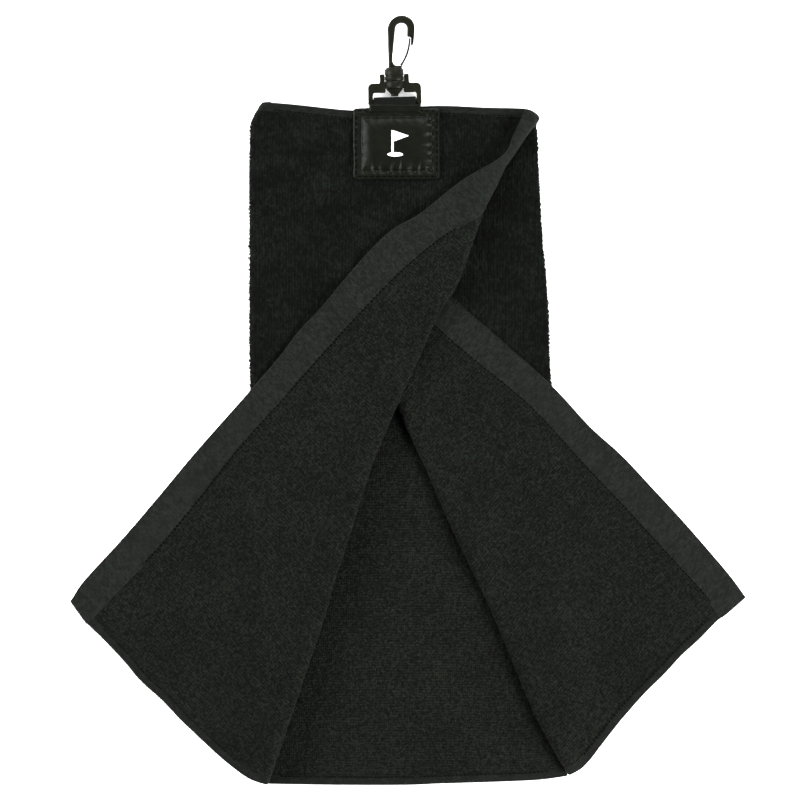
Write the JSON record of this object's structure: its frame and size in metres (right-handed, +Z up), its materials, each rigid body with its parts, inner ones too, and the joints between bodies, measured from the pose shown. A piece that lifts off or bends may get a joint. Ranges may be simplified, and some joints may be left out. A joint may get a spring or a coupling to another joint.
{
  "type": "golf towel",
  "caption": "Black terry golf towel folded in three, side flaps turned out, with a padded patch and a plastic swivel snap hook.",
  "frame": {"origin": "centre of the back panel's underside, on the surface the towel lies on", "axes": "+Y along the towel towards the hook, +Z up out of the folded stack, +X to the right seen from above"},
  "size_m": [0.3976, 0.4507, 0.014],
  "materials": {
    "velour": "short ribbed pile",
    "terry": "loop pile",
    "hem": "rolled woven hem",
    "flat_weave": "flat woven band",
    "thread": "sewing thread",
    "webbing": "woven webbing",
    "leatherette": "semi-gloss coated",
    "foam": "soft foam",
    "white_print": "raised print",
    "black_plastic": "moulded, satin"
  },
  "bodies": {
    "towel": {"back_panel": "terry", "back_top_hem": "hem", "back_bottom_hem": "hem", "right_flap_under": "velour", "right_top_hem": "hem", "right_flap_turnout": "terry", "right_bottom_hem": "hem", "right_woven_band": "flat_weave", "right_band_seam": "thread", "left_flap_under": "velour", "left_top_hem": "hem", "webbing_loop": "webbing", "patch_cover": "leatherette", "patch_pad": "foam", "patch_stitching": "thread", "patch_emblem": "white_print"},
    "left_flap": {"left_flap_turnout": "terry", "left_bottom_hem": "hem", "left_woven_band": "flat_weave", "left_band_seam": "thread"},
    "clip_frame": {"clip_frame": "black_plastic"},
    "snap_hook": {"hook_body": "black_plastic"},
    "gate": {"hook_gate": "black_plastic"}
  },
  "joints": [
    {"name": "left_flap_fold", "type": "hinge", "parent": "towel", "child": "left_flap", "pos_m": [-0.00437, -0.00158, 0.0102], "axis": [0.3781, 0.9258, 0], "range_deg": [0, 165]},
    {"name": "frame_tilt", "type": "hinge", "parent": "towel", "child": "clip_frame", "pos_m": [-0.0089, 0.20121, 0.0056], "axis": [0.9997, 0.0262, 0], "range_deg": [-75, 70]},
    {"name": "hook_swivel", "type": "hinge", "parent": "clip_frame", "child": "snap_hook", "pos_m": [-0.00921, 0.21321, 0.0056], "axis": [-0.0262, 0.9997, 0], "continuous": true},
    {"name": "gate_flex", "type": "hinge", "parent": "snap_hook", "child": "gate", "pos_m": [-0.00517, 0.22317, 0.0056], "axis": [0, 0, 1], "range_deg": [0, 14], "stiffness_Nm_per_rad": 0.15}
  ]
}
